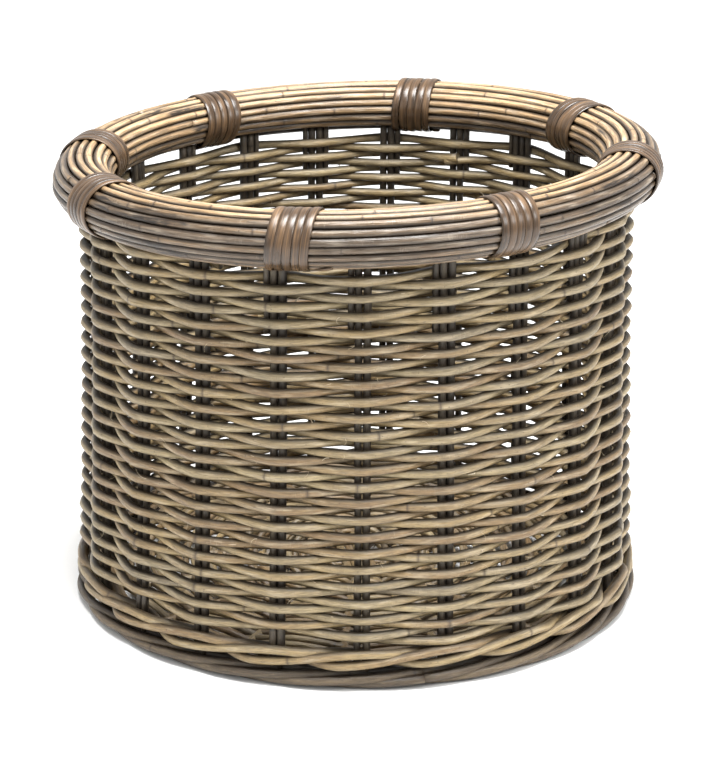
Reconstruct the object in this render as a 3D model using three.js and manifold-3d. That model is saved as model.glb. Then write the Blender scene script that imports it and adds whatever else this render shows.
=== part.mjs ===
// A round wicker log basket, in millimetres, +Z up, origin on the floor under its centre.
//
// Twenty-one stakes stand in a circle. Siding rods spiral round them, inside one stake and outside
// the next: with an odd number of stakes a single line of rods changes sides at every turn. Three
// rods of waling lock the stakes at the bottom, a rolled border makes the foot, a stick cross with a
// woven round makes the floor, and the rim is a hoop wrapped lengthwise in rods and lashed with cane.
//
// Bearings are measured from the front (-Y) towards the right (+X).
import * as THREE from 'three';
import { mergeVertices } from 'three/addons/utils/BufferGeometryUtils.js';
import Module from 'manifold-3d';

const wasm = await Module();
wasm.setup();

// ---- Driving dimensions -------------------------------------------------------------------------
const RIM_RADIUS = 234; // centre line of the rim hoop
const RIM_CENTRE_HEIGHT = 378; // of the rim hoop above the floor
const RIM_TILT = 1.9; // degrees; the wall is woven a little higher on the right than on the left
const RIM_FLATNESS = 0.88; // height of the rim's oval section against its width
const RIM_ROD_DIAMETER = 9.1;
const RIM_ROD_COUNT = 13;
const WALL_SET_IN = 8.5; // how far the circle of stakes lies inside the rim's centre line
const WALL_FLARE = 10; // how much further out the wall stands at the floor than at the rim

const STAKE_COUNT = 21; // odd, so that the siding changes sides at every turn
const STAKE_ROD_DIAMETER = 6.7; // each stake is two of these side by side
const BOOSTER_ROD_DIAMETER = 5.5; // the short third rod that thickens a stake under the rim
const BOOSTER_LENGTH = 60;
const FIRST_STAKE_BEARING = 1.5; // degrees

const SIDING_ROD_COUNT = 11; // rods joined end to end along the spiral
const SIDING_ROD_HEIGHT = 6.4;
const SIDING_ROD_THICKNESS = 7.0; // across the wall
const SIDING_ROW_GAP = 0.5; // least free height between two rows

const WALE_ROD_DIAMETER = 5.8;
const WALE_ROD_COUNT = 3; // each goes outside two stakes and inside the third
const STAKE_END_LENGTH = 4.0; // of the cut stake ends that show under the waling

const FOOT_WIDTH = 34;
const FOOT_HEIGHT = 11.7;
const FOOT_OVERHANG = 13; // of the foot outside the circle of stakes

const BASE_STICK_DIAMETER = 7.5;
const BASE_STICK_COUNT = 8; // across the whole base, so twice as many spokes
const BASE_WEAVE_THICKNESS = 7.0;

const LASHING_STRIP_WIDTH = 7.0;
const LASHING_STRIP_THICKNESS = 1.7;
const LASHING_TURNS = 5;
const LASHING_BEARINGS = [-11.5, 30, 77, 120, 166, 215.5, 259, 299]; // degrees, as laid by hand

const CLEARANCE = 0.3; // between pieces that touch

// ---- How finely round things are cut ------------------------------------------------------------
const RING_SEGMENTS = 36;
const STICK_SIDES = 8; // of stakes and base sticks
const STAKE_STRETCHES = 4; // straight stretches of a stake as it curves outwards
const ROD_SIDES = 6; // of the rods round the rim
const WEAVER_SIDES = 4;
const LASHING_SEGMENTS = 14;

// ---- Places worked out from the sizes -----------------------------------------------------------
const WALL_RADIUS = RIM_RADIUS - WALL_SET_IN; // of the circle of stakes at the rim
const STAKE_STEP = (2 * Math.PI) / STAKE_COUNT;
const STAKE_SPACING = WALL_RADIUS * STAKE_STEP;

// Rods pressed side by side share a sliver of width, so that a stake is one piece.
const PRESSED_TOGETHER = 0.96;
const STAKE_ROD_OFFSET = (STAKE_ROD_DIAMETER / 2) * PRESSED_TOGETHER;
const BOOSTER_OFFSET =
  STAKE_ROD_OFFSET + ((STAKE_ROD_DIAMETER + BOOSTER_ROD_DIAMETER) / 2) * PRESSED_TOGETHER;
const STAKE_HALF_WIDTH = STAKE_ROD_OFFSET + STAKE_ROD_DIAMETER / 2;
const BOOSTED_HALF_WIDTH = BOOSTER_OFFSET + BOOSTER_ROD_DIAMETER / 2;
const STAKE_BULGE = BOOSTED_HALF_WIDTH ** 2 / (2 * WALL_RADIUS); // a stake is flat, the wall round
const STAKE_RODS = [
  { diameter: STAKE_ROD_DIAMETER, offset: STAKE_ROD_OFFSET },
  { diameter: STAKE_ROD_DIAMETER, offset: -STAKE_ROD_OFFSET },
  { diameter: BOOSTER_ROD_DIAMETER, offset: -BOOSTER_OFFSET, length: BOOSTER_LENGTH },
];

// A ring is cut into straight stretches, and the middle of each lies this far inside its circle.
const RING_SAG = RIM_RADIUS * (1 - Math.cos(Math.PI / RING_SEGMENTS));

const STAKE_BOTTOM = FOOT_HEIGHT + CLEARANCE;
const WALE_BOTTOM = STAKE_BOTTOM + STAKE_END_LENGTH;
const WALE_PITCH = WALE_ROD_DIAMETER + CLEARANCE;
const WALE_TOP = WALE_BOTTOM + WALE_ROD_COUNT * WALE_PITCH;

const rim = rimBundle();
const RIM_BUNDLE_RADIUS = rim.ringRadius + RIM_ROD_DIAMETER / 2;
const RIM_CORE_RADIUS = rim.ringRadius - RIM_ROD_DIAMETER / 2 - CLEARANCE;
const STAKE_TOP = RIM_CENTRE_HEIGHT - RIM_FLATNESS * RIM_CORE_RADIUS - CLEARANCE;

// A lashing is a straight band round a curved rim, so it clears the curve's depth over its width.
const LASHING_WIDTH = LASHING_TURNS * LASHING_STRIP_WIDTH;
const LASHING_SAG = LASHING_WIDTH ** 2 / (8 * (RIM_RADIUS - RIM_BUNDLE_RADIUS));
const LASHING_INNER_RADIUS =
  (RIM_BUNDLE_RADIUS + LASHING_SAG + RING_SAG + CLEARANCE) /
  Math.cos(Math.PI / LASHING_SEGMENTS);
const LASHING_OUTER_RADIUS = LASHING_INNER_RADIUS + LASHING_STRIP_THICKNESS;

// The siding fills the wall between the waling and the lashings, and its rows spread out towards the
// high side of the rim. Each rod has the same even number of strokes, so that every joint between two
// rods lies inside the basket.
const RIM_SLOPE = Math.tan(THREE.MathUtils.degToRad(RIM_TILT));
const SIDING_BOTTOM = WALE_TOP + SIDING_ROD_HEIGHT / 2 + CLEARANCE;
const SIDING_TOP =
  RIM_CENTRE_HEIGHT - RIM_FLATNESS * LASHING_OUTER_RADIUS - CLEARANCE - SIDING_ROD_HEIGHT / 2;
const LEAST_SIDING = SIDING_TOP - SIDING_BOTTOM - RIM_SLOPE * RIM_RADIUS;
const MOST_TURNS = LEAST_SIDING / (SIDING_ROD_HEIGHT + SIDING_ROW_GAP);
const STROKES_PER_ROD = 2 * Math.floor((MOST_TURNS * STAKE_COUNT) / (2 * SIDING_ROD_COUNT));
const SIDING_TURNS = (STROKES_PER_ROD * SIDING_ROD_COUNT) / STAKE_COUNT;
const SIDING_PITCH = (SIDING_TOP - SIDING_BOTTOM) / SIDING_TURNS;

const SIDING_SWING = swingPast(SIDING_ROD_THICKNESS);
const WALE_SWING = swingPast(WALE_ROD_DIAMETER);
const WALL_INNER_RADIUS =
  WALL_RADIUS +
  flare(WALE_TOP) -
  Math.max(
    SIDING_SWING.inside + SIDING_ROD_THICKNESS / 2,
    WALE_SWING.inside + WALE_ROD_DIAMETER / 2,
  );

const BASE_RADIUS = WALL_INNER_RADIUS - CLEARANCE;
const BASE_STICK_HEIGHT = FOOT_HEIGHT + CLEARANCE + BASE_STICK_DIAMETER / 2;
const BASE_WEAVE_BOTTOM = FOOT_HEIGHT + BASE_STICK_DIAMETER + 2 * CLEARANCE;

// How far outside and inside the circle of stakes a weaver swings, so that its straight strokes clear
// every rod of the stakes. The near edge of a stroke runs straight from one stake to the far side of
// the next, which is steeper, and so needs more room, where the wall curves away from it.
function swingPast(thickness) {
  const half = thickness / 2;
  const needed = (side, edge, nextRadius) => {
    const nextEdge = side * (nextRadius * Math.cos(STAKE_STEP) - WALL_RADIUS);
    const slope = Math.max((edge - nextEdge) / (nextRadius * Math.sin(STAKE_STEP)), 0);
    const clearOf = ({ diameter, offset }) =>
      slope * Math.abs(offset) + (diameter / 2 + CLEARANCE) * Math.hypot(1, slope);
    return half + Math.max(...STAKE_RODS.map(clearOf));
  };
  let outside = thickness;
  let inside = thickness;
  for (let pass = 0; pass < 30; pass++) {
    outside = needed(1, outside - half, WALL_RADIUS - inside - half);
    inside = needed(-1, inside - half, WALL_RADIUS + outside + half);
  }
  return { outside, inside };
}

// The rods of the rim lie round its core, apart from a slot where the stakes come in from below.
// Finds the ring radius at which they just fill the rest, and each rod's angle round the bundle,
// counted from straight down towards the outside.
function rimBundle() {
  const beside = STAKE_ROD_DIAMETER / 2 + RIM_ROD_DIAMETER / 2 + CLEARANCE;
  const outerEdge = (radius) =>
    Math.asin((beside + RING_SAG + STAKE_BULGE - WALL_SET_IN) / radius);
  const innerEdge = (radius) => Math.asin((beside + WALL_SET_IN) / radius);
  const room = (radius) => 2 * Math.PI - outerEdge(radius) - innerEdge(radius);
  const step = (radius) => 2 * Math.asin((RIM_ROD_DIAMETER + CLEARANCE) / 2 / radius);
  let low = beside + WALL_SET_IN;
  let high = RIM_ROD_COUNT * RIM_ROD_DIAMETER;
  while (high - low > 1e-6) {
    const middle = (low + high) / 2;
    if ((RIM_ROD_COUNT - 1) * step(middle) > room(middle)) low = middle;
    else high = middle;
  }
  const angles = [];
  for (let i = 0; i < RIM_ROD_COUNT; i++)
    angles.push(outerEdge(high) + (i * room(high)) / (RIM_ROD_COUNT - 1));
  return { ringRadius: high, angles };
}

// ---- Shapes -------------------------------------------------------------------------------------
const radians = THREE.MathUtils.degToRad;

// A point on the wall at a bearing, a radius and a height.
function at(bearing, radius, height) {
  return new THREE.Vector3(radius * Math.sin(bearing), -radius * Math.cos(bearing), height);
}

// How much higher the tilted rim lies at a bearing and a radius than at its centre.
function rise(bearing, radius) {
  return RIM_SLOPE * radius * Math.sin(bearing);
}

// How much further out the wall stands at a height than at the rim. It curves, and is upright where
// it meets the rim.
function flare(height) {
  return WALL_FLARE * (1 - height / RIM_CENTRE_HEIGHT) ** 2;
}

// A line through given points, whose sections stay upright as it turns round the basket.
class WeaverPath extends THREE.Curve {
  constructor(points) {
    super();
    this.points = points;
  }

  getPoint(t) {
    const place = t * (this.points.length - 1);
    const i = Math.min(Math.floor(place), this.points.length - 2);
    return this.points[i].clone().lerp(this.points[i + 1], place - i);
  }

  getPointAt(u) {
    return this.getPoint(u);
  }

  computeFrenetFrames(segments) {
    const tangents = [];
    const normals = [];
    const binormals = [];
    for (let i = 0; i <= segments; i++) {
      const before = this.points[Math.max(i - 1, 0)];
      const after = this.points[Math.min(i + 1, segments)];
      const tangent = after.clone().sub(before).normalize();
      const across = new THREE.Vector3(0, 0, 1).cross(tangent).normalize();
      tangents.push(tangent);
      normals.push(across);
      binormals.push(tangent.clone().cross(across));
    }
    return { tangents, normals, binormals };
  }
}

// Points of a regular polygon with one corner on each axis, as wide and high as told.
function roundOutline(width, height, sides) {
  const points = [];
  for (let i = 0; i < sides; i++) {
    const angle = (2 * Math.PI * i) / sides;
    points.push(
      new THREE.Vector2((width / 2) * Math.cos(angle), (height / 2) * Math.sin(angle)),
    );
  }
  return points;
}

function weaver(points, width, height) {
  return new THREE.ExtrudeGeometry(new THREE.Shape(roundOutline(width, height, WEAVER_SIDES)), {
    steps: points.length - 1,
    extrudePath: new WeaverPath(points),
    bevelEnabled: false,
  });
}

// A closed outline of (radius, height) points turned about the basket's axis.
function ring(outline, segments = RING_SEGMENTS) {
  const profile = [...outline, outline[0].clone()];
  return new THREE.LatheGeometry(profile, segments).rotateX(Math.PI / 2);
}

// An upright rod at the front of the wall that follows the wall's curve.
function wallRod(diameter, offset, bottom, top) {
  const radius = diameter / 2;
  const rod = new THREE.CylinderGeometry(radius, radius, top - bottom, STICK_SIDES, STAKE_STRETCHES)
    .rotateX(Math.PI / 2)
    .translate(offset, -WALL_RADIUS, (bottom + top) / 2);
  const places = rod.attributes.position;
  for (let i = 0; i < places.count; i++) places.setY(i, places.getY(i) - flare(places.getZ(i)));
  return rod;
}

// ---- Joining and cutting ------------------------------------------------------------------------
function solidOf(geometry) {
  const bare = geometry.clone();
  bare.deleteAttribute('normal');
  bare.deleteAttribute('uv');
  const merged = mergeVertices(bare, 1e-3);
  return new wasm.Manifold(
    new wasm.Mesh({
      numProp: 3,
      vertProperties: new Float32Array(merged.attributes.position.array),
      triVerts: new Uint32Array(merged.index.array),
    }),
  );
}

function geometryOf(solid) {
  const mesh = solid.getMesh();
  const geometry = new THREE.BufferGeometry();
  const places = new Float32Array(mesh.vertProperties);
  geometry.setAttribute('position', new THREE.BufferAttribute(places, mesh.numProp));
  geometry.setIndex(new THREE.BufferAttribute(new Uint32Array(mesh.triVerts), 1));
  geometry.computeVertexNormals();
  return geometry;
}

const joined = (geometries) =>
  geometryOf(geometries.map(solidOf).reduce((whole, piece) => whole.add(piece)));

// ---- Sub-parts ----------------------------------------------------------------------------------
const weatheredRattan = { color: 0x9a8468, roughness: 0.75, metalness: 0 };
const darkRattan = { color: 0x76654e, roughness: 0.8, metalness: 0 };
const barkRattan = { color: 0xb39c7c, roughness: 0.6, metalness: 0 };
const splitCane = { color: 0x86613e, roughness: 0.45, metalness: 0 };

function piece(name, geometry, finish, bearing = 0) {
  const mesh = new THREE.Mesh(geometry, new THREE.MeshStandardMaterial(finish));
  mesh.name = name;
  mesh.rotation.z = bearing;
  return mesh;
}

const numbered = (stem, i) => `${stem}_${String(i + 1).padStart(2, '0')}`;

// Each stake is two full-length rods and a booster, at the front before it is turned into place. It
// ends under the core hoop, which is lower on the left than on the right.
function stakes() {
  const group = new THREE.Group();
  for (let i = 0; i < STAKE_COUNT; i++) {
    const top = STAKE_TOP + rise(stakeBearing(i), WALL_RADIUS);
    const rods = STAKE_RODS.map(({ diameter, offset, length = top - STAKE_BOTTOM }) =>
      wallRod(diameter, offset, top - length, top),
    );
    group.add(piece(numbered('stake', i), joined(rods), darkRattan, stakeBearing(i)));
  }
  return group;
}

function stakeBearing(i) {
  return radians(FIRST_STAKE_BEARING) + i * STAKE_STEP;
}

// One point of a weaver's line for each stake that it passes. The ends of two rods that follow each
// other are cut square behind a stake, and stepped back so far that their corners don't meet.
function weaverLine(first, last, placeAt, thickness, swing) {
  const points = [];
  const bend = (swing.outside + swing.inside) / STAKE_SPACING;
  const stepBack = (CLEARANCE + thickness * bend) / 2 / STAKE_SPACING;
  for (let k = first; k <= last; k++) points.push(placeAt(k));
  points[0].lerp(points[1], stepBack);
  points.at(-1).lerp(points.at(-2), stepBack);
  return points;
}

// The radius of a weaver's line where it passes a stake, before the wall's flare is added.
const passing = (swing, isInside) => WALL_RADIUS + (isInside ? -swing.inside : swing.outside);

function siding() {
  const group = new THREE.Group();
  const placeAt = (stroke) => {
    const bearing = stakeBearing(stroke);
    const radius = passing(SIDING_SWING, stroke % 2 === 0);
    const level = (SIDING_PITCH * stroke) / STAKE_COUNT;
    const spread = (rise(bearing, radius) * level) / (SIDING_TOP - SIDING_BOTTOM);
    const height = SIDING_BOTTOM + level + spread;
    return at(bearing, radius + flare(height), height);
  };
  for (let i = 0; i < SIDING_ROD_COUNT; i++) {
    const first = i * STROKES_PER_ROD;
    const last = first + STROKES_PER_ROD;
    const line = weaverLine(first, last, placeAt, SIDING_ROD_THICKNESS, SIDING_SWING);
    const geometry = weaver(line, SIDING_ROD_THICKNESS, SIDING_ROD_HEIGHT);
    group.add(piece(numbered('siding_rod', i), geometry, weatheredRattan));
  }
  return group;
}

function waling() {
  const group = new THREE.Group();
  for (let i = 0; i < WALE_ROD_COUNT; i++) {
    const height = WALE_BOTTOM + (i + 0.5) * WALE_PITCH;
    const placeAt = (stake) => {
      const isInside = (stake - i) % WALE_ROD_COUNT === 0;
      return at(stakeBearing(stake), passing(WALE_SWING, isInside) + flare(height), height);
    };
    const line = weaverLine(i, i + STAKE_COUNT, placeAt, WALE_ROD_DIAMETER, WALE_SWING);
    const geometry = weaver(line, WALE_ROD_DIAMETER, WALE_ROD_DIAMETER);
    group.add(piece(numbered('wale_rod', i), geometry, weatheredRattan));
  }
  return group;
}

function rimRods() {
  const group = new THREE.Group();
  const section = roundOutline(RIM_ROD_DIAMETER, RIM_ROD_DIAMETER, ROD_SIDES);
  rim.angles.forEach((angle, i) => {
    const centre = new THREE.Vector2(
      RIM_RADIUS + rim.ringRadius * Math.sin(angle),
      RIM_CENTRE_HEIGHT - rim.ringRadius * Math.cos(angle),
    );
    const outline = section.map((point) =>
      point.clone().rotateAround(new THREE.Vector2(), angle).add(centre),
    );
    group.add(piece(numbered('rim_rod', i), ring(outline), barkRattan));
  });
  return group;
}

function rimCore() {
  const centre = new THREE.Vector2(RIM_RADIUS, RIM_CENTRE_HEIGHT);
  const outline = roundOutline(2 * RIM_CORE_RADIUS, 2 * RIM_CORE_RADIUS, ROD_SIDES * 2);
  return piece('rim_core_hoop', ring(outline.map((point) => point.add(centre))), darkRattan);
}

// A band of cane turns side by side, each one crowned, with a hole wherever a stake passes it.
function lashings() {
  const group = new THREE.Group();
  const outline = [new THREE.Vector2(LASHING_INNER_RADIUS, -LASHING_WIDTH / 2)];
  const crown = LASHING_STRIP_THICKNESS / 3;
  for (let turn = 0; turn <= LASHING_TURNS; turn++) {
    const edge = (turn - LASHING_TURNS / 2) * LASHING_STRIP_WIDTH;
    outline.push(new THREE.Vector2(LASHING_OUTER_RADIUS - crown, edge));
    if (turn < LASHING_TURNS)
      outline.push(new THREE.Vector2(LASHING_OUTER_RADIUS, edge + LASHING_STRIP_WIDTH / 2));
  }
  outline.push(new THREE.Vector2(LASHING_INNER_RADIUS, LASHING_WIDTH / 2));
  const band = solidOf(
    new THREE.LatheGeometry([...outline, outline[0].clone()], LASHING_SEGMENTS)
      .rotateZ(-Math.PI / 2)
      .translate(0, -RIM_RADIUS, RIM_CENTRE_HEIGHT),
  );
  const passage = stakePassage();
  LASHING_BEARINGS.forEach((degrees, i) => {
    const bearing = radians(degrees);
    let cut = band;
    for (let stake = 0; stake < STAKE_COUNT; stake++)
      cut = cut.subtract(solidOf(passage.clone().rotateZ(stakeBearing(stake) - bearing)));
    group.add(piece(numbered('rim_lashing', i), geometryOf(cut), splitCane, bearing));
  });
  return group;
}

// The room that a stake takes up on its way to the core, with a clearance all round it.
function stakePassage() {
  const left = -BOOSTED_HALF_WIDTH - CLEARANCE;
  const right = STAKE_HALF_WIDTH + CLEARANCE;
  const depth = STAKE_ROD_DIAMETER + 2 * CLEARANCE;
  const bottom = RIM_CENTRE_HEIGHT - 2 * LASHING_OUTER_RADIUS;
  const top = RIM_CENTRE_HEIGHT - RIM_CORE_RADIUS;
  return new THREE.BoxGeometry(right - left, depth, top - bottom).translate(
    (left + right) / 2,
    -WALL_RADIUS,
    (top + bottom) / 2,
  );
}

// The rolled border under the wall, flat where it stands on the floor.
function foot() {
  const outer = WALL_RADIUS + flare(0) + FOOT_OVERHANG;
  const inner = outer - FOOT_WIDTH;
  const round = FOOT_HEIGHT / 3;
  const outline = [
    new THREE.Vector2(inner, round),
    new THREE.Vector2(inner + round, 0),
    new THREE.Vector2(outer - round, 0),
    new THREE.Vector2(outer, round),
    new THREE.Vector2(outer, FOOT_HEIGHT - round),
    new THREE.Vector2(outer - round, FOOT_HEIGHT),
    new THREE.Vector2(inner + round, FOOT_HEIGHT),
    new THREE.Vector2(inner, FOOT_HEIGHT - round),
  ];
  return piece('foot_border', ring(outline), darkRattan);
}

function base() {
  const group = new THREE.Group();
  const sticks = [];
  for (let i = 0; i < BASE_STICK_COUNT; i++)
    sticks.push(
      new THREE.CylinderGeometry(
        BASE_STICK_DIAMETER / 2,
        BASE_STICK_DIAMETER / 2,
        2 * BASE_RADIUS,
        STICK_SIDES,
      )
        .rotateY(Math.PI / STICK_SIDES)
        .rotateZ((i * Math.PI) / BASE_STICK_COUNT)
        .translate(0, 0, BASE_STICK_HEIGHT),
    );
  group.add(piece('base_sticks', joined(sticks), darkRattan));
  const weave = new THREE.CylinderGeometry(
    BASE_RADIUS,
    BASE_RADIUS,
    BASE_WEAVE_THICKNESS,
    RING_SEGMENTS,
  )
    .rotateX(Math.PI / 2)
    .translate(0, 0, BASE_WEAVE_BOTTOM + BASE_WEAVE_THICKNESS / 2);
  group.add(piece('base_weave', weave, weatheredRattan));
  return group;
}

// The rim is made level and round in section, then pressed to its oval and slanted as a whole, so
// that what passes through it stays upright.
function tiltedRim() {
  const group = new THREE.Group();
  group.add(rimCore(), rimRods(), lashings());
  group.matrixAutoUpdate = false;
  group.matrix
    .makeShear(0, RIM_SLOPE, 0, 0, 0, 0)
    .multiply(new THREE.Matrix4().makeTranslation(0, 0, RIM_CENTRE_HEIGHT))
    .multiply(new THREE.Matrix4().makeScale(1, 1, RIM_FLATNESS))
    .multiply(new THREE.Matrix4().makeTranslation(0, 0, -RIM_CENTRE_HEIGHT));
  return group;
}

const basket = new THREE.Group();
basket.add(foot(), base(), stakes(), waling(), siding(), tiltedRim());

export default basket;
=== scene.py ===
"""A round wicker log basket, woven by hand from rattan rods.

Twenty-one stakes stand in a circle, siding rods spiral round them, three rods of waling lock them
at the bottom, a twisted border makes the foot, and the rim is a hoop wrapped lengthwise in rods and
lashed with split cane. Every rod is swept along its own line, so that it bends, thickens, squashes
against its neighbours and shows its growth rings as the real ones do.
"""

import logging
import math
import random
from dataclasses import dataclass, field, replace
from enum import Enum
from typing import Sequence

import bmesh
import bpy
from mathutils import Matrix, Vector, noise


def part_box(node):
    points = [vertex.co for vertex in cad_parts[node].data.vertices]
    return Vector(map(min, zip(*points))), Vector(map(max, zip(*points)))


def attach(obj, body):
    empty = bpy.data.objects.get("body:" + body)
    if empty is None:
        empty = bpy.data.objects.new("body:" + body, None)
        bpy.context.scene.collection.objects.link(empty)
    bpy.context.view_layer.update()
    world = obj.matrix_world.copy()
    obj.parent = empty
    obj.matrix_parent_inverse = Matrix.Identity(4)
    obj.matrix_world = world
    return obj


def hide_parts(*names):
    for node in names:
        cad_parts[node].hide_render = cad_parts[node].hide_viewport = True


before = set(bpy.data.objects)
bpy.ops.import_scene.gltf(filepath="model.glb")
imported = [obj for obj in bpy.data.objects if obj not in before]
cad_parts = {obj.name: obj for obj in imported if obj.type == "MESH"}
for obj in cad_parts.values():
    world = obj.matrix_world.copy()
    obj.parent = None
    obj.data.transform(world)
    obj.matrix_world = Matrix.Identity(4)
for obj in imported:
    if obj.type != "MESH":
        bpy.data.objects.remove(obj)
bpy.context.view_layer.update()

MM = 0.001
BODY = "root"
log = logging.getLogger("basket")

STRAIGHT = "straight"  # where a point lies on its rod, were the rod pulled straight
TONE = "tone"  # how pale or dark a rod is, from 0 to 1
WEAR_AND_SHADE = "wear_and_shade"  # 1 where a rod is clean and unshaded, lower where it keeps its dirt or is given painted shade
RING = "ring"  # 1 on a growth ring

# Places across a growth ring, in millimetres from its middle, and how strongly it shows there.
RING_PROFILE = ((-2.2, 0.0), (-0.9, 0.55), (0.0, 1.0), (0.9, 0.35), (2.2, 0.0))
LEAST_STEP = 0.8 * MM  # between two sections of a rod


class Blend(Enum):
    """How one colour is laid over another."""

    MIX = "MIX"
    MULTIPLY = "MULTIPLY"


class Sum(Enum):
    """The sums that the finishes work out."""

    MULTIPLY = "MULTIPLY"
    SUBTRACT = "SUBTRACT"
    POWER = "POWER"


# ---- Small tools ---------------------------------------------------------------------------------
def linear(colour: str) -> tuple[float, float, float, float]:
    """Turns an sRGB hex colour into the linear colour that the shaders take.

    Args:
        colour: Six hex digits after a hash sign.

    Returns:
        Linear red, green and blue, and an alpha of 1.
    """
    parts = [int(colour[i : i + 2], 16) / 255 for i in (1, 3, 5)]
    return (*(c / 12.92 if c <= 0.04045 else ((c + 0.055) / 1.055) ** 2.4 for c in parts), 1.0)


def wander(seed: float, place: float, size: float) -> float:
    """Gives a smooth wandering value, the same on every run.

    Args:
        seed: Which wander this is.
        place: Where along it.
        size: The most that it strays from nought.

    Returns:
        A value between -size and size.
    """
    return size * noise.noise(Vector((place, 7.3 * seed + 0.31, 1.7 * seed)))


def mid(box: tuple[Sequence[float], Sequence[float]]) -> Vector:
    """Returns the middle of a box given by its two corners."""
    return (Vector(box[0]) + Vector(box[1])) / 2


def bearing_of(place: Vector) -> float:
    """Returns the bearing of a place, from the front (-Y) towards the right (+X)."""
    return math.atan2(place.x, -place.y)


def outward(bearing: float) -> Vector:
    """Returns the unit vector that points away from the axis at a bearing."""
    return Vector((math.sin(bearing), -math.cos(bearing), 0.0))


# ---- Rods ----------------------------------------------------------------------------------------
@dataclass
class Section:
    """One cross-section of a rod: its centre, its size, its wear and painted shade, and its growth ring."""

    centre: Vector
    across: Vector
    width: float
    height: float
    wear_and_shade: float = 1.0
    ring: float = 0.0


@dataclass
class RodBundle:
    """Rods that make up one piece, each swept as a grid that is rolled up and closed at its ends."""

    name: str
    sides: int = 12
    bm: bmesh.types.BMesh = field(default_factory=bmesh.new)

    def __post_init__(self) -> None:
        """Adds the layers that the finishes read."""
        self.straight = self.bm.verts.layers.float_vector.new(STRAIGHT)
        self.tone = self.bm.verts.layers.float.new(TONE)
        self.wear_and_shade = self.bm.verts.layers.float.new(WEAR_AND_SHADE)
        self.ring = self.bm.verts.layers.float.new(RING)

    def add(
        self,
        sections: Sequence[Section],
        tone: float,
        start: float,
        crevice_shade: float = 0.0,
        squareness: float = 1.0,
    ) -> None:
        """Sweeps one rod through its sections.

        Args:
            sections: The rod's cross-sections in order.
            tone: How pale the rod is, from 0 to 1.
            start: Where along an endless rod this one was cut, in metres, so that no two are alike.
            crevice_shade: How much painted shade darkens the top and bottom of the rod's section, where its
                neighbours touch, against its front, from 0 to 1.
            squareness: 1 for a round or oval section, less for a fuller, flatter one.
        """
        count = len(sections) - 1
        grid = bmesh.ops.create_grid(
            self.bm, x_segments=count, y_segments=self.sides, size=0.5, calc_uvs=False
        )["verts"]
        table = [[None] * (self.sides + 1) for _ in range(count + 1)]
        for vert in grid:
            i = round((vert.co.x + 0.5) * count)
            j = round((vert.co.y + 0.5) * self.sides)
            table[i][j] = vert
        angles = [2 * math.pi * j / self.sides for j in range(self.sides + 1)]
        turns = [(math.cos(a), math.sin(a)) for a in angles]
        turns[-1] = turns[0]
        if squareness != 1.0:
            turns = [
                (math.copysign(abs(c) ** squareness, c), math.copysign(abs(s) ** squareness, s))
                for c, s in turns
            ]
        along = start
        for i, section in enumerate(sections):
            before = sections[max(i - 1, 0)].centre
            after = sections[min(i + 1, count)].centre
            tangent = (after - before).normalized()
            across = (section.across - tangent * section.across.dot(tangent)).normalized()
            up = across.cross(tangent)
            if i:
                along += (section.centre - sections[i - 1].centre).length
            half_width = section.width / 2
            half_height = section.height / 2
            for j, (c, s) in enumerate(turns):
                vert = table[i][j]
                vert.co = section.centre + across * (half_width * c) + up * (half_height * s)
                vert[self.straight] = Vector((along, half_width * c, half_height * s))
                vert[self.tone] = tone
                # Painted shade: the section darkens towards its top and bottom, where the neighbouring rods
                # touch.
                vert[self.wear_and_shade] = section.wear_and_shade * (1 - crevice_shade * s**4)
                vert[self.ring] = section.ring
        bmesh.ops.weld_verts(self.bm, targetmap={row[-1]: row[0] for row in table})
        for row in (table[0], table[-1]):
            edges = [
                edge
                for j in range(self.sides)
                if (edge := self.bm.edges.get((row[j], row[(j + 1) % self.sides])))
            ]
            bmesh.ops.edgeloop_fill(self.bm, edges=edges)

    def finish(self, material: bpy.types.Material, nodes: Sequence[str]) -> None:
        """Makes the piece and takes the place of the solids that it stands for.

        Args:
            material: The finish of every rod in the piece.
            nodes: The CAD nodes that the piece replaces.
        """
        bmesh.ops.recalc_face_normals(self.bm, faces=self.bm.faces)
        for face in self.bm.faces:
            face.smooth = len(face.verts) == 4
        mesh = bpy.data.meshes.new(self.name)
        self.bm.to_mesh(mesh)
        self.bm.free()
        mesh.materials.append(material)
        piece = bpy.data.objects.new(self.name, mesh)
        bpy.context.scene.collection.objects.link(piece)
        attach(piece, BODY)
        if nodes:
            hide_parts(*nodes)
        log.info("%s: %d faces", self.name, len(mesh.polygons))


@dataclass(frozen=True)
class Growth:
    """How a rattan rod grew: how its thickness wanders and where its growth rings lie."""

    seed: int
    ring_spacing: tuple[float, float] = (0.14, 0.30)
    ring_swelling: float = 0.03
    unevenness: float = 0.05

    def rings(self, length: float) -> list[float]:
        """Returns the places of the growth rings along a rod of a length."""
        pick = random.Random(self.seed)
        places = []
        place = pick.uniform(0.02, self.ring_spacing[1])
        while place < length:
            places.append(place)
            place += pick.uniform(*self.ring_spacing)
        return places

    def size(self, mean: float, place: float, ring: float) -> float:
        """Works out how thick the rod is at a place.

        Args:
            mean: Its mean thickness.
            place: Where along the rod.
            ring: How strongly a growth ring shows there.

        Returns:
            The thickness.
        """
        return mean * (1 + wander(self.seed, 9 * place, self.unevenness) + self.ring_swelling * ring)


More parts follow.
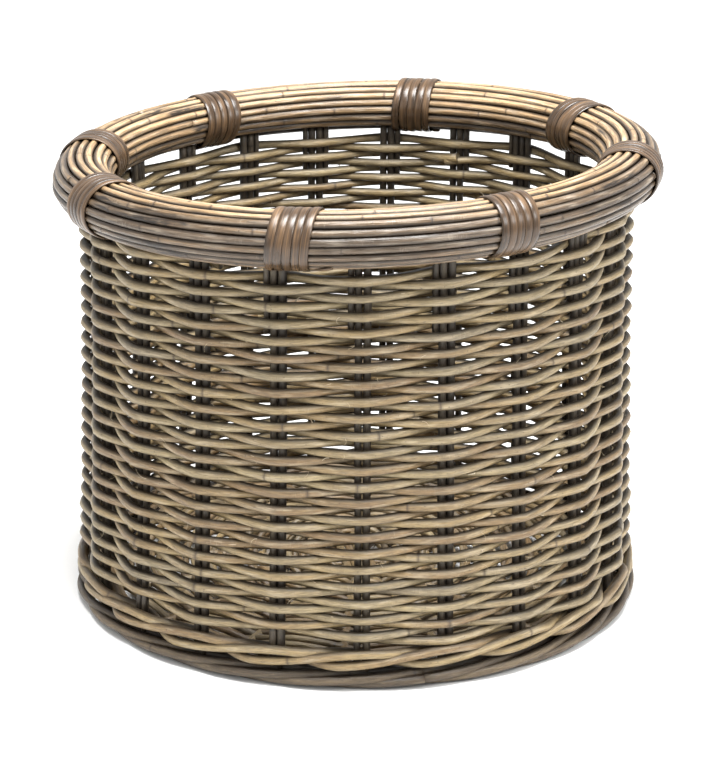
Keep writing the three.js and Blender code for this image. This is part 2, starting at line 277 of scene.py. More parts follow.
def stations(length: float, step: float, rings: Sequence[float]) -> list[tuple[float, float]]:
    """Spreads sections along a rod, closer together at its growth rings.

    Args:
        length: The rod's length.
        step: The distance between sections elsewhere.
        rings: The places of its growth rings.

    Returns:
        Pairs of place and ring mark, in order.
    """
    count = max(round(length / step), 2)
    places = {round(length * i / count, 5): 0.0 for i in range(count + 1)}
    for ring in rings:
        for offset, mark in RING_PROFILE:
            place = round(ring + offset * MM, 5)
            if 0 < place < length:
                places[place] = mark
    ordered = sorted(places.items())
    kept = [ordered[0]]
    for place, mark in ordered[1:]:
        crowded = place - kept[-1][0] < LEAST_STEP
        if crowded and mark == 0.0 and place < length:
            continue
        kept.append((place, mark))
    return kept


# ---- Finishes ------------------------------------------------------------------------------------
def add_node(
    tree: bpy.types.NodeTree,
    kind: str,
    settings: dict[str, object] | None = None,
    inputs: dict[str | int, object] | None = None,
) -> bpy.types.Node:
    """Adds a shader node, sets it up and links what feeds it.

    Args:
        tree: The material's node tree.
        kind: The node's type.
        settings: The node's own properties.
        inputs: Input sockets by name or number, with a value or the socket to link from.

    Returns:
        The new node.
    """
    node = tree.nodes.new(kind)
    for key, value in (settings or {}).items():
        setattr(node, key, value)
    for key, value in (inputs or {}).items():
        if isinstance(value, bpy.types.NodeSocket):
            tree.links.new(value, node.inputs[key])
        else:
            node.inputs[key].default_value = value
    return node


def ramp_of(
    tree: bpy.types.NodeTree, factor: bpy.types.NodeSocket, stops: Sequence[tuple[float, str]]
) -> bpy.types.NodeSocket:
    """Colours a factor by stops of place and hex colour, and returns the colour's socket."""
    node = add_node(tree, "ShaderNodeValToRGB", inputs={"Fac": factor})
    elements = node.color_ramp.elements
    while len(elements) < len(stops):
        elements.new(0.5)
    for element, (place, colour) in zip(elements, stops):
        element.position = place
        element.color = linear(colour)
    return node.outputs["Color"]


def stretched_noise(
    tree: bpy.types.NodeTree,
    coords: bpy.types.NodeSocket,
    spacing_mm: tuple[float, float],
    detail: float,
    contrast: tuple[float, float],
) -> bpy.types.NodeSocket:
    """Draws a noise whose grains have a real length along the rod and a real width across it.

    Args:
        tree: The material's node tree.
        coords: The rod's straight coordinates.
        spacing_mm: The size of a grain along and across the rod, in millimetres.
        detail: How many finer octaves it has.
        contrast: The noise values that become 0 and 1.

    Returns:
        The noise, from 0 to 1.
    """
    along, across = (1000 / size for size in spacing_mm)
    scaled = add_node(
        tree, "ShaderNodeMapping", inputs={"Vector": coords, "Scale": (along, across, across)}
    )
    texture = add_node(
        tree,
        "ShaderNodeTexNoise",
        inputs={"Vector": scaled.outputs["Vector"], "Scale": 1.0, "Detail": detail},
    )
    limits = {"Value": texture.outputs["Fac"], "From Min": contrast[0], "From Max": contrast[1]}
    return add_node(tree, "ShaderNodeMapRange", inputs=limits).outputs["Result"]


def blend(
    tree: bpy.types.NodeTree,
    factor: bpy.types.NodeSocket | float,
    first: object,
    second: object,
    kind: Blend = Blend.MIX,
) -> bpy.types.NodeSocket:
    """Mixes two colours by a factor, in any blend kind, and returns the mixed colour's socket."""
    node = add_node(
        tree,
        "ShaderNodeMix",
        settings={"data_type": "RGBA", "blend_type": kind.value},
        inputs={0: factor, 6: first, 7: second},
    )
    return node.outputs[2]


def maths(tree: bpy.types.NodeTree, operation: Sum, *values: object) -> bpy.types.NodeSocket:
    """Works out one sum of sockets or numbers, kept between 0 and 1, and returns its socket."""
    settings = {"operation": operation.value, "use_clamp": True}
    node = add_node(tree, "ShaderNodeMath", settings, dict(enumerate(values)))
    return node.outputs["Value"]


@dataclass(frozen=True)
class WovenRattan:
    """Rattan core or skin, soaked, woven wet and left to weather: grey-brown, streaked and matt.

    The core's fibres run lengthwise, so the eye sees fine long streaks, paler where the surface is
    worn, with painted shade in the crevices where rods touch, dirt on the less worn rods, a dark line
    at each growth ring and small dark specks.
    """

    name: str
    tones: tuple[tuple[float, str], ...]
    bleached: str
    grime_and_shade: str
    ring: str
    bleaching: float = 0.5
    streaking: float = 0.4
    staining: float = 0.0
    stain: str = "#241d18"
    roughness: tuple[float, float] = (0.45, 0.7)
    tone_drift_mm: tuple[float, float] = (170.0, 60.0)
    worn_patch_mm: tuple[float, float] = (26.0, 3.5)
    streak_mm: tuple[float, float] = (8.0, 1.0)
    craze_mm: tuple[float, float] = (0.9, 5.0)
    crazed_area_mm: tuple[float, float] = (30.0, 30.0)
    speck_mm: tuple[float, float] = (2.6, 1.5)
    stain_mm: tuple[float, float] = (130.0, 16.0)
    stain_grain_mm: tuple[float, float] = (12.0, 2.0)
    relief_mm: float = 0.35
    grime_and_shade_reach: float = 2.3
    grime_and_shade_depth: float = 0.94

    def build(self) -> bpy.types.Material:
        """Builds the material."""
        material = bpy.data.materials.new(self.name)
        material.use_nodes = True
        tree = material.node_tree
        shader = tree.nodes["Principled BSDF"]
        read = {
            name: add_node(tree, "ShaderNodeAttribute", {"attribute_name": name})
            for name in (STRAIGHT, TONE, WEAR_AND_SHADE, RING)
        }
        coords = read[STRAIGHT].outputs["Vector"]

        slow = stretched_noise(tree, coords, self.tone_drift_mm, 2.0, (0.25, 0.75))
        tone = add_node(tree, "ShaderNodeMix", inputs={0: 0.4, 2: read[TONE].outputs["Fac"], 3: slow})
        colour = ramp_of(tree, tone.outputs[0], self.tones)

        patches = stretched_noise(tree, coords, self.worn_patch_mm, 6.0, (0.5, 0.66))
        worn = maths(tree, Sum.MULTIPLY, patches, self.bleaching)
        colour = blend(tree, worn, colour, linear(self.bleached))

        streaks = stretched_noise(tree, coords, self.streak_mm, 4.0, (0.36, 0.64))
        grey = ramp_of(tree, streaks, ((0.0, "#4d4740"), (0.45, "#b9b3ab"), (1.0, "#ffffff")))
        colour = blend(tree, self.streaking, colour, grey, Blend.MULTIPLY)

        # Cross-crazing of the skin, about a millimetre apart, only here and there.
        crazing = stretched_noise(tree, coords, self.craze_mm, 2.0, (0.56, 0.68))
        where = stretched_noise(tree, coords, self.crazed_area_mm, 2.0, (0.52, 0.66))
        crazed = maths(tree, Sum.MULTIPLY, crazing, where)
        colour = blend(tree, maths(tree, Sum.MULTIPLY, crazed, 0.2), colour, linear(self.bleached))

        specks = stretched_noise(tree, coords, self.speck_mm, 2.0, (0.66, 0.74))
        colour = blend(tree, maths(tree, Sum.MULTIPLY, specks, 0.6), colour, linear(self.ring))
        if self.staining:
            stains = stretched_noise(tree, coords, self.stain_mm, 3.0, (0.61, 0.67))
            fine = stretched_noise(tree, coords, self.stain_grain_mm, 3.0, (0.3, 0.5))
            stained = maths(tree, Sum.MULTIPLY, maths(tree, Sum.MULTIPLY, stains, fine), self.staining)
            colour = blend(tree, stained, colour, linear(self.stain))

        ringed = maths(tree, Sum.MULTIPLY, read[RING].outputs["Fac"], 0.8)
        colour = blend(tree, ringed, colour, linear(self.ring))
        # Painted shade and dirt: where the wear-and-shade attribute is low, the colour darkens towards the
        # grime-and-shade colour.
        clean_and_unshaded = maths(tree, Sum.POWER, read[WEAR_AND_SHADE].outputs["Fac"], self.grime_and_shade_reach)
        colour = blend(tree, clean_and_unshaded, blend(tree, self.grime_and_shade_depth, colour, linear(self.grime_and_shade)), colour)
        tree.links.new(colour, shader.inputs["Base Color"])

        low, high = self.roughness
        gloss = add_node(
            tree, "ShaderNodeMapRange", inputs={"Value": patches, "To Min": low, "To Max": high}
        )
        tree.links.new(gloss.outputs["Result"], shader.inputs["Roughness"])
        relief = maths(tree, Sum.SUBTRACT, streaks, maths(tree, Sum.MULTIPLY, crazed, 0.4))
        bump = add_node(
            tree,
            "ShaderNodeBump",
            inputs={"Height": relief, "Distance": self.relief_mm * MM, "Strength": 0.6},
        )
        tree.links.new(bump.outputs["Normal"], shader.inputs["Normal"])
        return material


@dataclass(frozen=True)
class SplitCane:
    """Cane split from the rattan's skin, wrapped wet and shrunk tight: brown with a waxy gloss.

    The skin's waxy coat stays on, so each turn has a long soft highlight, with fine darker lines
    along it, and painted shade darkens its edges where the turns meet.
    """

    name: str
    dark: str = "#221a11"
    middle: str = "#463423"
    pale: str = "#7a5e40"
    roughness: tuple[float, float] = (0.22, 0.38)
    line_mm: tuple[float, float] = (60.0, 0.9)
    cloud_mm: tuple[float, float] = (35.0, 8.0)
    relief_mm: float = 0.15

    def build(self) -> bpy.types.Material:
        """Builds the material."""
        material = bpy.data.materials.new(self.name)
        material.use_nodes = True
        tree = material.node_tree
        shader = tree.nodes["Principled BSDF"]
        straight = add_node(tree, "ShaderNodeAttribute", {"attribute_name": STRAIGHT})
        wear_and_shade = add_node(tree, "ShaderNodeAttribute", {"attribute_name": WEAR_AND_SHADE})
        coords = straight.outputs["Vector"]
        lines = stretched_noise(tree, coords, self.line_mm, 3.0, (0.3, 0.7))
        clouds = stretched_noise(tree, coords, self.cloud_mm, 3.0, (0.3, 0.7))
        both = add_node(tree, "ShaderNodeMix", inputs={0: 0.5, 2: lines, 3: clouds})
        stops = ((0.1, self.dark), (0.5, self.middle), (0.9, self.pale))
        colour = ramp_of(tree, both.outputs[0], stops)
        # Painted shade: the strip darkens towards its edges, where one turn meets the next.
        edge = blend(tree, 0.7, colour, linear(self.dark))
        colour = blend(tree, wear_and_shade.outputs["Fac"], edge, colour)
        tree.links.new(colour, shader.inputs["Base Color"])
        low, high = self.roughness
        gloss = add_node(
            tree, "ShaderNodeMapRange", inputs={"Value": clouds, "To Min": low, "To Max": high}
        )
        tree.links.new(gloss.outputs["Result"], shader.inputs["Roughness"])
        bump = add_node(
            tree,
            "ShaderNodeBump",
            inputs={"Height": lines, "Distance": self.relief_mm * MM, "Strength": 0.5},
        )
        tree.links.new(bump.outputs["Normal"], shader.inputs["Normal"])
        return material


WALL_TONES = (
    (0.0, "#7f7362"),
    (0.2, "#998969"),
    (0.4, "#a99267"),
    (0.58, "#8d7351"),
    (0.78, "#a4926d"),
    (1.0, "#beac84"),
)
SIDING_FINISH = WovenRattan(
    name="weathered_rattan_siding",
    tones=WALL_TONES,
    bleached="#d2c3a8",
    grime_and_shade="#1c160f",
    ring="#3d2e21",
)
WALE_FINISH = WovenRattan(
    name="weathered_rattan_waling",
    tones=WALL_TONES,
    bleached="#cfc1a8",
    grime_and_shade="#241c15",
    ring="#3d2e21",
    bleaching=0.45,
)
STAKE_FINISH = WovenRattan(
    name="stained_rattan_stake",
    tones=((0.0, "#3f362b"), (0.5, "#5c503f"), (1.0, "#786a54")),
    bleached="#a09379",
    grime_and_shade="#1e1814",
    ring="#241c15",
    bleaching=0.35,
)
RIM_FINISH = WovenRattan(
    name="skinned_rattan_rim",
    tones=(
        (0.0, "#544738"),
        (0.25, "#756350"),
        (0.45, "#927859"),
        (0.7, "#c2a27a"),
        (1.0, "#e8cca4"),
    ),
    bleached="#ecdfca",
    grime_and_shade="#221a13",
    ring="#2f2117",
    bleaching=0.3,
    streaking=0.6,
    grime_and_shade_reach=3.6,
    staining=0.95,
    roughness=(0.32, 0.55),
    streak_mm=(22.0, 1.1),
)
FOOT_FINISH = WovenRattan(
    name="weathered_rattan_foot",
    tones=((0.0, "#463a2b"), (0.5, "#60503b"), (1.0, "#78664b")),
    bleached="#a09177",
    grime_and_shade="#1e1712",
    ring="#241a13",
    bleaching=0.3,
)
BASE_FINISH = WovenRattan(
    name="rattan_floor",
    tones=WALL_TONES,
    bleached="#cabb9f",
    grime_and_shade="#241c15",
    ring="#33261b",
    bleaching=0.4,
)
SPLINTER_FINISH = WovenRattan(
    name="raised_fibres",
    tones=((0.0, "#b79f78"), (1.0, "#e2d3b6")),
    bleached="#efe6d2",
    grime_and_shade="#6b573f",
    ring="#6b573f",
)
LASHING_FINISH = SplitCane(name="split_cane_lashing")


# ---- The wall ------------------------------------------------------------------------------------
@dataclass
class Wall:
    """The circle of stakes that everything is woven on, and the tilt of the rim above it."""

    stake_count: int = 21
    first_bearing: float = math.radians(1.5)
    radius: float = 225.5 * MM
    flare: float = 10 * MM
    rim_radius: float = 234 * MM
    rim_tilt: float = math.radians(1.9)
    rim_half_width: float = 25.8 * MM
    rim_half_height: float = 22.7 * MM

    def __post_init__(self) -> None:
        """Takes the rim's height from the solids."""
        self.step = 2 * math.pi / self.stake_count
        self.spacing = self.radius * self.step
        self.rim_height = mid(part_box("rim_core_hoop"))[2]

    def radius_at(self, height: float) -> float:
        """Returns the radius of the circle of stakes, which widens towards the floor."""
        return self.radius + self.flare * max(1 - height / self.rim_height, 0.0) ** 2

    def under_rim(self, bearing: float, radius: float) -> float:
        """Returns the height of the rim's underside over a place on the wall."""
        offset = min(abs(radius - self.rim_radius) / self.rim_half_width, 1.0)
        depth = self.rim_half_height * math.sqrt(1 - offset * offset)
        return self.rim_height - depth + self.rise(bearing, radius)

    def bearing(self, stake: float) -> float:
        """Returns the bearing of a stake, or of a place between two of them."""
        return self.first_bearing + stake * self.step

    def rise(self, bearing: float, radius: float) -> float:
        """Returns how much higher the tilted rim is at a place than at its centre."""
        return math.tan(self.rim_tilt) * radius * math.sin(bearing)

    def place(self, bearing: float, radius: float, height: float) -> Vector:
        """Returns the point at a bearing, a radius and a height."""
        return outward(bearing) * radius + Vector((0.0, 0.0, height))


@dataclass
class Stakes:
    """Upright rods in pairs, with short boosters beside them under the rim."""

    wall: Wall
    rod: float = 6.7 * MM
    booster: float = 5.5 * MM
    booster_length: float = 60 * MM
    step: float = 12 * MM

    def build(self) -> None:
        """Makes one piece for each stake."""
        material = STAKE_FINISH.build()
        for i in range(self.wall.stake_count):
            self.build_stake(i, material)

    def build_stake(self, i: int, material: bpy.types.Material) -> None:
        """Makes one stake: two rods side by side, and one or two boosters at its top."""
        name = f"stake_{i + 1:02d}"
        low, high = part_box(name)
        pick = random.Random(100 + i)
        bundle = RodBundle(f"woven_{name}", sides=10)
        pair = self.rod * 0.53
        beside = pair + self.rod / 2 + self.booster / 2
        rods = [
            (-pair, low[2], self.rod * pick.uniform(0.92, 1.08)),
            (pair, low[2] + pick.uniform(-1, 1.5) * MM, self.rod * pick.uniform(0.88, 1.04)),
            (-beside, high[2] - self.booster_length * pick.uniform(0.8, 1.25), self.booster),
        ]
        if pick.random() < 0.45:
            length = self.booster_length * pick.uniform(0.5, 0.9)
            rods.append((beside, high[2] - length, self.booster * 0.9))
        for k, (offset, bottom, thickness) in enumerate(rods):
            self.build_rod(bundle, i, 10 * i + k, offset, (bottom, high[2]), thickness, pick.random())
        bundle.finish(material, [name])

    def build_rod(
        self,
        bundle: RodBundle,
        stake: int,
        seed: int,
        offset: float,
        ends: tuple[float, float],
        thickness: float,
        tone: float,
    ) -> None:
        """Sweeps one upright rod of a stake.

        Args:
            bundle: The stake's piece.
            stake: The stake's number.
            seed: The rod's own number.
            offset: How far it stands to the side of the stake's middle.
            ends: The heights of its two ends.
            thickness: Its mean thickness.
            tone: How pale it is.
        """
        bearing = self.wall.bearing(stake)
        out = outward(bearing)
        side = Vector((0.0, 0.0, 1.0)).cross(out)
        growth = Growth(seed, ring_swelling=0.04, unevenness=0.06)
        length = ends[1] - ends[0]
        sections = []
        for place, ring in stations(length, self.step, growth.rings(length)):
            height = ends[0] + place
            lean = wander(seed + 0.5, 12 * height, 0.5 * MM)
            radius = self.wall.radius_at(height) + lean
            centre = out * radius + side * (offset + lean) + Vector((0, 0, height))
            size = growth.size(thickness, place, ring)
            sections.append(Section(centre, out, size, size, 0.75, ring))
        bundle.add(sections, tone, 3.1 * seed, crevice_shade=0.5)


@dataclass
class Siding:
    """Rods woven inside one stake and outside the next, in one long spiral up the wall."""

    wall: Wall
    rod_count: int = 11
    strokes_per_rod: int = 82
    solid_height: float = 6.4 * MM  # of the CAD rods, which are lower than the real ones
    lengths_per_rod: int = 3
    thickness: float = 8.4 * MM
    squashed: float = 7.2 * MM
    swing_out: float = 8.9 * MM
    swing_in: float = 7.7 * MM
    sections_per_stroke: int = 10
    strokes_under_rim: int = 20
    stiffness: float = 0.65
    end_tuck: float = 3.0 * MM
    end_parting: float = 2.2 * MM
    tuck_reach: float = 0.45  # of a stroke
    radial_stray: float = 0.5 * MM
    row_stray: float = 1.6 * MM
    rod_stray: float = 0.7 * MM
    outside_painted_shade: float = 0.12

    def __post_init__(self) -> None:
        """Takes the spiral's foot, top and number of strokes from the solids."""
        first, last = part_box("siding_rod_01"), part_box(f"siding_rod_{self.rod_count:02d}")
        self.bottom = first[0][2] + self.solid_height / 2
        self.top = last[1][2] - self.solid_height / 2 - self.wall.rise(math.pi / 2, self.wall.radius)
        self.strokes = self.strokes_per_rod * self.rod_count
        self.pitch = (self.top - self.bottom) * self.wall.stake_count / self.strokes

    def passing(self, stroke: float) -> float:
        """Returns 1 inside a stake and -1 outside it; between them a stiff rod is nearly straight."""
        rounded = math.cos(math.pi * stroke)
        straight = 2 / math.pi * math.asin(rounded)
        return rounded + self.stiffness * (straight - rounded)

    def centre(self, stroke: float) -> Vector:
        """Returns where the middle of the spiral's rod is, at a number of strokes along it."""
        bearing = self.wall.bearing(stroke)
        half = (self.swing_out + self.swing_in) / 2
        swing = (self.swing_out - self.swing_in) / 2 - half * self.passing(stroke)
        level = self.pitch * stroke / self.wall.stake_count
        share = level / (self.top - self.bottom)
        radius = self.wall.radius_at(self.bottom + level) + swing
        radius += wander(2, 0.37 * stroke, self.radial_stray)
        # Rows ride up and down together, and each rod strays a little by itself.
        out = outward(bearing)
        together = noise.noise(Vector((2.2 * out.x, 2.2 * out.y, 22 * level))) * self.row_stray
        alone = wander(3, 0.55 * stroke, self.rod_stray)
        edge = max(0.0, min(1.0, 6 * share, 6 * (1 - share)))
        height = self.bottom + level + share * self.wall.rise(bearing, radius)
        height += edge * (together + alone)
        ceiling = self.wall.under_rim(bearing, radius) - 0.45 * self.thickness
        return self.wall.place(bearing, radius, min(height, ceiling))

    def build(self) -> None:
        """Makes one piece for each rod of the siding."""
        material = SIDING_FINISH.build()
        per_rod = self.strokes_per_rod
        pick = random.Random(7)
        for i in range(self.rod_count):
            bundle = RodBundle(f"woven_siding_rod_{i + 1:02d}")
            first = i * per_rod
            cuts = [first]
            for k in range(1, self.lengths_per_rod):
                cut = k * per_rod / self.lengths_per_rod + pick.uniform(-5, 5)
                cuts.append(first + 2 * round(cut / 2))
            last = i == self.rod_count - 1
            cuts.append(first + per_rod + (self.strokes_under_rim if last else 0))
            for k in range(self.lengths_per_rod):
                seed = 1000 + 10 * i + k
                self.build_length(bundle, seed, cuts[k], cuts[k + 1], pick)
            bundle.finish(material, [f"siding_rod_{i + 1:02d}"])

    def build_length(
        self, bundle: RodBundle, seed: int, first: int, last: int, pick: random.Random
    ) -> None:
        """Sweeps one length of rod between two stakes, with its ends tucked inside the basket.

        Args:
            bundle: The piece that it belongs to.
            seed: The length's own number.
            first: The stroke that it starts behind.
            last: The stroke that it ends behind.
            pick: Where its thickness and tone are drawn from.
        """
        growth = Growth(seed, (0.22, 0.55), unevenness=0.07)
        rings = growth.rings((last - first) * self.wall.spacing)
        mean = self.thickness * pick.triangular(0.84, 1.14, 1.0)
        tone = pick.random()
        start_over, end_over = pick.uniform(0.08, 0.2), pick.uniform(0.08, 0.2)
        length = (last - first + start_over + end_over) * self.wall.spacing
        sections = []
        for place, ring in stations(length, self.wall.spacing / self.sections_per_stroke, rings):
            stroke = first - start_over + place / self.wall.spacing
            centre = self.centre(stroke)
            out = outward(self.wall.bearing(stroke))
            # The ends of two lengths lie side by side behind a stake, pushed in and up or down.
            from_end = min(place, length - place) / self.wall.spacing
            tuck = max(0.0, 1 - from_end / self.tuck_reach) ** 2
            side = 1 if place < length / 2 else -1
            centre += out * (-self.end_tuck * tuck) + Vector((0, 0, side * self.end_parting * tuck))
            # Between two stakes a rod is pressed flat by the ones above and below it.
            pressed = math.sin(math.pi * stroke) ** 2
            size = growth.size(mean, place, ring)
            height = size * (1 - pressed) + min(size, self.squashed) * pressed
            width = size * (0.96 + 0.08 * pressed)
            outside = 0.5 - 0.5 * math.cos(math.pi * stroke)
            # Painted light and shade: strokes that pass inside the stakes, on the basket's inner face, are
            # painted paler than those that pass outside.
            sections.append(Section(centre, out, width, height, 1 - self.outside_painted_shade * outside, ring))
        bundle.add(sections, tone, 5.3 * (seed - 990), crevice_shade=0.95)


@dataclass
class Waling:
    """Three rods twisted round each other and the stakes, outside two stakes and inside the third."""

    wall: Wall
    rods: int = 3
    thickness: float = 8.2 * MM
    swing_out: float = 9.6 * MM
    swing_in: float = 8.0 * MM
    lift: float = 5.4 * MM
    sections_per_stroke: int = 10

    def __post_init__(self) -> None:
        """Takes the band's height from the solids."""
        boxes = [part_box(f"wale_rod_{i + 1:02d}") for i in range(self.rods)]
        self.height = (min(b[0][2] for b in boxes) + max(b[1][2] for b in boxes)) / 2

    def build(self) -> None:
        """Makes one piece for each rod of the waling."""
        material = WALE_FINISH.build()
        pick = random.Random(31)
        for i in range(self.rods):
            name = f"wale_rod_{i + 1:02d}"
            bundle = RodBundle(f"woven_{name}")
            self.build_rod(bundle, i, pick.uniform(0.3, 0.9))
            bundle.finish(material, [name])

    def build_rod(self, bundle: RodBundle, i: int, tone: float) -> None:
        """Sweeps one rod of the waling once round the basket."""
        growth = Growth(2000 + i, unevenness=0.06)
        length = (self.wall.stake_count + 0.25) * self.wall.spacing
        sections = []
        for place, ring in stations(
            length, self.wall.spacing / self.sections_per_stroke, growth.rings(length)
        ):
            stake = i - 0.12 + place / self.wall.spacing
            phase = 2 * math.pi * (stake - i) / self.rods
            bearing = self.wall.bearing(stake)
            # Outside for two stakes out of three: a flat-topped wave with a short dip inside.
            dip = max(0.0, math.cos(phase)) ** 1.6
            swing = self.swing_out - (self.swing_out + self.swing_in) * dip
            height = self.height - self.lift * math.sin(phase + 0.25) + wander(41 + i, stake, 0.6 * MM)
            centre = self.wall.place(bearing, self.wall.radius_at(height) + swing, height)
            size = growth.size(self.thickness, place, ring)
            # Painted shade: the rod is darker where it dips inside, behind the stake.
            wear_and_shade = 0.54 + 0.38 * (1 - dip)
            sections.append(Section(centre, outward(bearing), size, size * 0.92, wear_and_shade, ring))
        bundle.add(sections, tone, 70 + 3.7 * i, crevice_shade=0.7)


# ---- The foot and the floor ----------------------------------------------------------------------
@dataclass
class Foot:
    """The border that the basket stands on: long rods twisted round each other as a flat rope."""

    wall: Wall
    strands: int = 5
    thickness: float = 7.4 * MM
    stakes_per_twist: float = 5.25
    spread: float = 10.0 * MM
    lift: float = 3.9 * MM
    overhang: float = 1.2 * MM  # of the twisted rods past the solid border
    pressed_in: float = 0.2 * MM  # where the rods bear on the ground
    sections_per_stroke: int = 9

    def __post_init__(self) -> None:
        """Takes the border's section from the solids."""
        low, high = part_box("foot_border")
        self.outer, self.bottom = high[0], low[2]

    def build(self) -> None:
        """Makes the border as one piece."""
        material = FOOT_FINISH.build()
        bundle = RodBundle("twisted_foot_border")
        pick = random.Random(57)
        twists = round(self.wall.stake_count / self.stakes_per_twist)
        middle = self.outer + self.overhang - self.spread - self.thickness / 2
        height = self.bottom + self.thickness / 2 + self.lift - self.pressed_in
        for i in range(self.strands):
            growth = Growth(3000 + i, unevenness=0.06)
            length = 2 * math.pi * self.wall.radius
            sections = []
            for place, ring in stations(
                length, self.wall.spacing / self.sections_per_stroke, growth.rings(length)
            ):
                share = place / length
                bearing = self.wall.bearing(0.7) + 2 * math.pi * share
                phase = 2 * math.pi * (twists * share + i / self.strands)
                radius = middle + self.spread * math.cos(phase)
                level = height + self.lift * math.sin(phase) + abs(wander(61 + i, 9 * share, 0.5 * MM))
                size = growth.size(self.thickness, place, ring)
                outside = 0.5 + 0.5 * math.cos(phase)
                centre = self.wall.place(bearing, radius, level)
                # Painted shade: the strands darken where they turn into the middle of the twist.
                wear_and_shade = 0.25 + 0.7 * outside
                sections.append(Section(centre, outward(bearing), size, size, wear_and_shade, ring))
            bundle.add(sections, pick.random(), 90 + 4.1 * i, crevice_shade=0.6)
        bundle.finish(material, ["foot_border"])


@dataclass
class Floor:
    """The round base: two sets of four sticks crossed, opened into spokes and woven round."""

    wall: Wall
    sticks_each_way: int = 4
    stick: float = 7.0 * MM
    weaver: float = 5.6 * MM
    row: float = 6.1 * MM
    cross_half: float = 30 * MM
    cross_turn: float = math.radians(9)
    edge_gap: float = 1.5 * MM
    raised: float = 1.8 * MM  # above the middle of the CAD sticks

    def __post_init__(self) -> None:
        """Takes the base's height and radius from the solids."""
        low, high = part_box("base_sticks")
        self.radius = high[0] - self.edge_gap
        self.height = (low[2] + high[2]) / 2 + self.raised

    def build(self) -> None:
        """Makes the sticks and the weave."""
        self.build_sticks()
        self.build_weave()

    def build_sticks(self) -> None:
        """Crosses the sticks at the centre and spreads their ends evenly."""
        material = BASE_FINISH.build()
        bundle = RodBundle("crossed_base_sticks", sides=10)
        fan = math.pi / (2 * self.sticks_each_way)
        for way in range(2):
            for k in range(self.sticks_each_way):
                slot = k - (self.sticks_each_way - 1) / 2
                self.build_stick(bundle, way, slot, fan)
        bundle.finish(material, ["base_sticks"])

    def build_stick(self, bundle: RodBundle, way: int, slot: float, fan: float) -> None:
        """Sweeps one stick: straight through the cross, then bent towards its place as a spoke."""
        turn = Matrix.Rotation(way * math.pi / 2 + self.cross_turn, 4, "Z")
        offset = slot * self.stick * 1.05
        growth = Growth(int(4000 + 10 * way + slot * 2), unevenness=0.04)
        length = 2 * self.radius
        sections = []
        for place, ring in stations(length, 8 * MM, growth.rings(length)):
            x = place - self.radius
            beyond = max(0.0, abs(x) - self.cross_half) / (self.radius - self.cross_half)
            ease = min(1.0, 3 * beyond)
            ease = ease * ease * (3 - 2 * ease)
            y = offset * (1 - ease) + abs(x) * math.sin(slot * fan) * ease
            x *= 1 - ease * (1 - math.cos(slot * fan))
            over = (1 - min(1.0, 1.6 * beyond)) * 0.32 * self.stick * (1 if way else -1)
            centre = turn @ Vector((x, y, self.height + over))
            size = growth.size(self.stick, place, ring)
            sections.append(Section(centre, turn.to_3x3() @ Vector((0, 1, 0)), size, size * 0.9, 0.8, ring))
        bundle.add(sections, 0.4 + 0.15 * math.sin(3 * slot), 120 + slot + 9 * way, crevice_shade=0.2)

    def build_weave(self) -> None:
        """Weaves round after round over one spoke and under the next."""
        material = replace(BASE_FINISH, name="rattan_floor_weave").build()
        bundle = RodBundle("woven_floor", sides=8)
        pick = random.Random(83)
        spokes = 4 * self.sticks_each_way
        first = self.cross_half + 6 * MM
        rounds = int((self.radius - first) / self.row)
        swing = (self.stick * 0.9 + self.weaver) / 2 * 0.92
        for n in range(rounds + 1):
            radius = first + n * self.row
            growth = Growth(5000 + n, unevenness=0.06)
            length = 2 * math.pi * radius - 1.2 * MM
            begin = pick.uniform(0, 2 * math.pi)
            step = max(2 * math.pi * radius / (spokes * 6), 2.5 * MM)
            sections = []
            for place, ring in stations(length, step, growth.rings(length)):
                bearing = begin + place / radius
                phase = spokes / 2 * (bearing - self.cross_turn) + math.pi * n
                level = self.height + swing * math.cos(phase)
                size = growth.size(self.weaver, place, ring)
                centre = self.wall.place(bearing, radius, level)
                # Painted shade: the weaver darkens where it passes between the spokes.
                wear_and_shade = 0.55 + 0.4 * math.cos(phase) ** 2
                sections.append(Section(centre, outward(bearing), size * 1.04, size, wear_and_shade, ring))
            bundle.add(sections, pick.random(), 150 + 2.3 * n, crevice_shade=0.15)
        bundle.finish(material, ["base_weave"])


